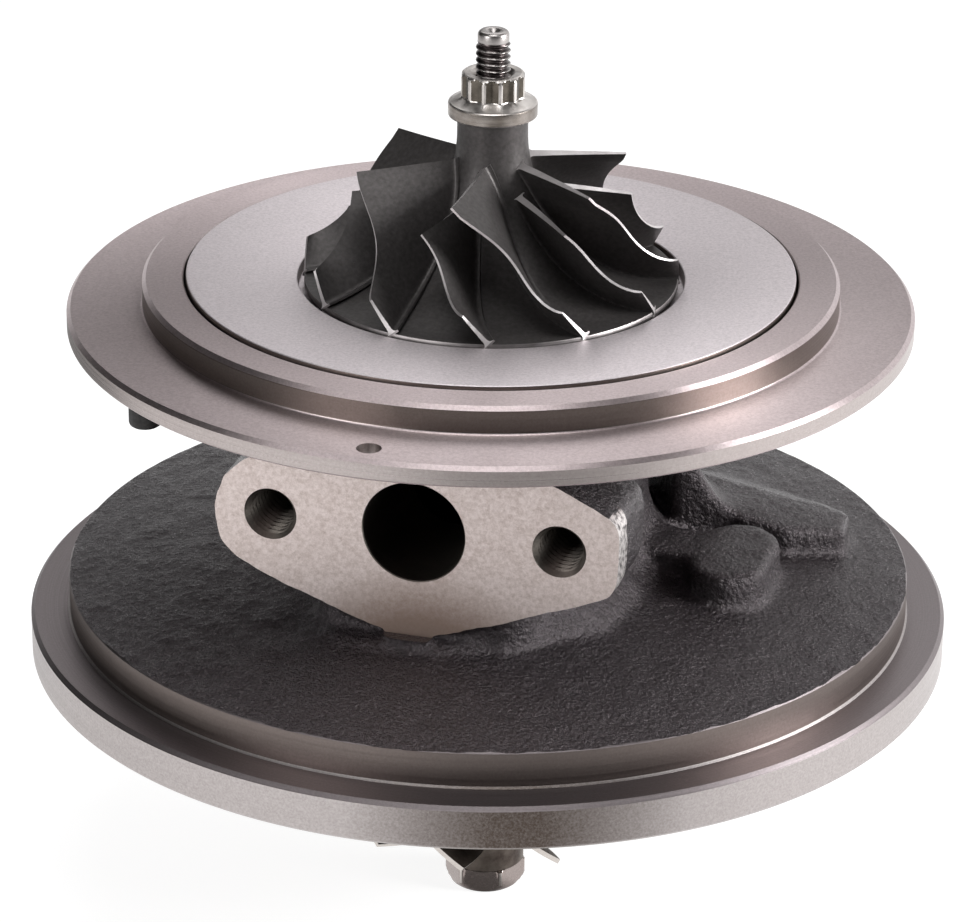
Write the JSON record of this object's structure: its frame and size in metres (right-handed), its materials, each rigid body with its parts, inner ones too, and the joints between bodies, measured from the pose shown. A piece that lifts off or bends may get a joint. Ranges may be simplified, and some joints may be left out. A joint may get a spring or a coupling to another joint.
{
  "type": "turbocharger cartridge",
  "caption": "Turbocharger centre cartridge: cast bearing housing with a round turbine flange, turned backing flange, oil drain flange and a free-spinning compressor and turbine rotor.",
  "frame": {"origin": "centre of the turbine seat, the flat face under the round turbine flange", "axes": "+Z along the shaft towards the compressor wheel, -Y out of the oil drain flange"},
  "size_m": [0.1418, 0.1418, 0.1422],
  "materials": {
    "cast_iron": "black coated rough casting with bare machined faces",
    "turned_steel": "satin turned",
    "rubber": "matt",
    "bolt_steel": "bright rolled",
    "black_steel": "black oxide",
    "bronze": "turned",
    "pressed_steel": "pressed",
    "spring_steel": "ground",
    "heat_resisting_sheet": "pressed, dull",
    "turbine_alloy": "investment cast with a machined nose",
    "shaft_steel": "ground",
    "cast_aluminium": "dark cast with machined tips",
    "plated_steel": "plated"
  },
  "bodies": {
    "housing": {"bearing_housing": "cast_iron", "backing_flange": "turned_steel", "seal_plate": "turned_steel", "seal_plate_o_ring": "rubber", "flange_o_ring": "rubber", "seal_plate_bolts": "bolt_steel", "flange_dowel": "black_steel", "thrust_bearing": "bronze", "thrust_bearing_pins": "bolt_steel", "oil_baffle": "pressed_steel", "compressor_seal_ring": "spring_steel", "turbine_seal_ring": "spring_steel", "bearing_retaining_rings": "spring_steel", "heat_shield": "heat_resisting_sheet"},
    "rotor": {"turbine_wheel": "turbine_alloy", "rotor_shaft": "shaft_steel", "thrust_collar": "shaft_steel", "seal_sleeve": "shaft_steel", "compressor_wheel": "cast_aluminium", "shaft_nut": "plated_steel"},
    "turbine_bush": {"turbine_journal_bearing": "bronze"},
    "compressor_bush": {"compressor_journal_bearing": "bronze"}
  },
  "joints": [
    {"name": "rotor_spin", "type": "hinge", "parent": "housing", "child": "rotor", "pos_m": [0, 0, 0], "axis": [0, 0, -1], "continuous": true},
    {"name": "turbine_bush_spin", "type": "hinge", "parent": "housing", "child": "turbine_bush", "pos_m": [0, 0, 0.0144], "axis": [0, 0, -1], "continuous": true},
    {"name": "compressor_bush_spin", "type": "hinge", "parent": "housing", "child": "compressor_bush", "pos_m": [0, 0, 0.034], "axis": [0, 0, -1], "continuous": true}
  ]
}
